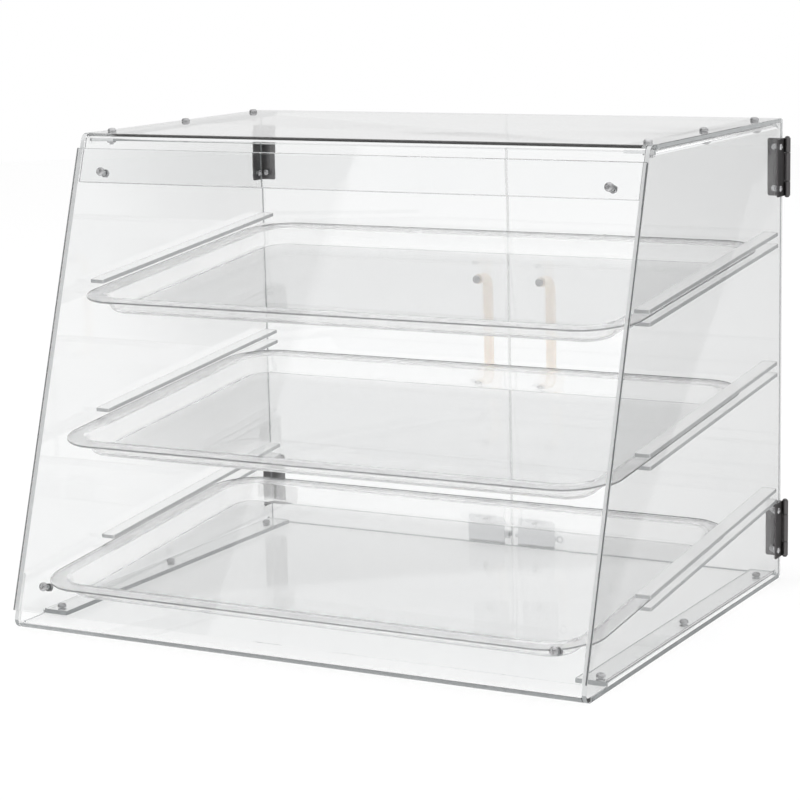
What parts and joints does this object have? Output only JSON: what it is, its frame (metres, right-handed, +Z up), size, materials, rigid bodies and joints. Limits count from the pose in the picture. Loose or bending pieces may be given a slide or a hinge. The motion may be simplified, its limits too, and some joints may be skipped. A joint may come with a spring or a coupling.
{
  "type": "countertop display case",
  "caption": "Clear acrylic countertop food display case with a slanted front, sloping trays on rails and hinged rear doors with bow handles and a slide bolt.",
  "frame": {"origin": "middle of the case's footprint, on the underside of the base panel", "axes": "+X to the right seen from the slanted front, +Y towards the rear doors, +Z up"},
  "size_m": [0.5716, 0.475, 0.4351],
  "materials": {
    "acrylic": "clear polished acrylic sheet",
    "tray": "clear vacuum-formed plastic with a faint frost",
    "steel": "plated steel screws and nuts",
    "gunmetal": "dark stainless steel hinge",
    "nickel": "satin nickel plate",
    "ivory": "glossy ivory plastic"
  },
  "bodies": {
    "case": {"base_panel": "acrylic", "top_panel": "acrylic", "side_panel_left": "acrylic", "side_panel_right": "acrylic", "front_panel": "acrylic", "rail_left_bottom_lower": "acrylic", "rail_left_bottom_upper": "acrylic", "rail_left_middle_lower": "acrylic", "rail_left_middle_upper": "acrylic", "rail_left_top_lower": "acrylic", "rail_left_top_upper": "acrylic", "rail_right_bottom_lower": "acrylic", "rail_right_bottom_upper": "acrylic", "rail_right_middle_lower": "acrylic", "rail_right_middle_upper": "acrylic", "rail_right_top_lower": "acrylic", "rail_right_top_upper": "acrylic", "hinge_side_leaf_left_lower": "gunmetal", "hinge_pin_left_lower": "gunmetal", "front_screw_left_lower": "steel", "hinge_side_leaf_left_upper": "gunmetal", "hinge_pin_left_upper": "gunmetal", "front_screw_left_upper": "steel", "top_screw_left_front": "steel", "base_screw_left_front": "steel", "top_screw_left_middle": "steel", "base_screw_left_middle": "steel", "top_screw_left_rear": "steel", "base_screw_left_rear": "steel", "hinge_side_leaf_right_lower": "gunmetal", "hinge_pin_right_lower": "gunmetal", "front_screw_right_lower": "steel", "hinge_side_leaf_right_upper": "gunmetal", "hinge_pin_right_upper": "gunmetal", "front_screw_right_upper": "steel", "top_screw_right_front": "steel", "base_screw_right_front": "steel", "top_screw_right_middle": "steel", "base_screw_right_middle": "steel", "top_screw_right_rear": "steel", "base_screw_right_rear": "steel"},
    "door_left": {"door_left": "acrylic", "handle_left": "ivory", "hinge_door_leaf_left_lower": "gunmetal", "handle_screw_left_lower": "steel", "hinge_door_leaf_left_upper": "gunmetal", "handle_screw_left_upper": "steel", "latch_keeper": "nickel"},
    "door_right": {"door_right": "acrylic", "handle_right": "ivory", "hinge_door_leaf_right_lower": "gunmetal", "handle_screw_right_lower": "steel", "hinge_door_leaf_right_upper": "gunmetal", "handle_screw_right_upper": "steel", "latch_housing": "nickel"},
    "bolt": {"latch_bolt": "nickel"},
    "tray_bottom": {"tray_bottom": "tray"},
    "tray_middle": {"tray_middle": "tray"},
    "tray_top": {"tray_top": "tray"}
  },
  "joints": [
    {"name": "door_left_hinge", "type": "hinge", "parent": "case", "child": "door_left", "pos_m": [-0.2829, 0.2274, 0.216], "axis": [0, 0, 1], "range_deg": [0, 240]},
    {"name": "door_right_hinge", "type": "hinge", "parent": "case", "child": "door_right", "pos_m": [0.2829, 0.2274, 0.216], "axis": [0, 0, -1], "range_deg": [0, 240]},
    {"name": "bolt_slide", "type": "slide", "parent": "door_right", "child": "bolt", "axis": [-1, 0, 0], "range_m": [0, 0.013]},
    {"name": "tray_bottom_slide", "type": "slide", "parent": "case", "child": "tray_bottom", "axis": [0, 0.9952, 0.0983], "range_m": [0, 0.082]},
    {"name": "tray_middle_slide", "type": "slide", "parent": "case", "child": "tray_middle", "axis": [0, 0.9952, 0.0983], "range_m": [0, 0.047]},
    {"name": "tray_top_slide", "type": "slide", "parent": "case", "child": "tray_top", "axis": [0, 0.9952, 0.0983], "range_m": [0, 0.007]}
  ]
}
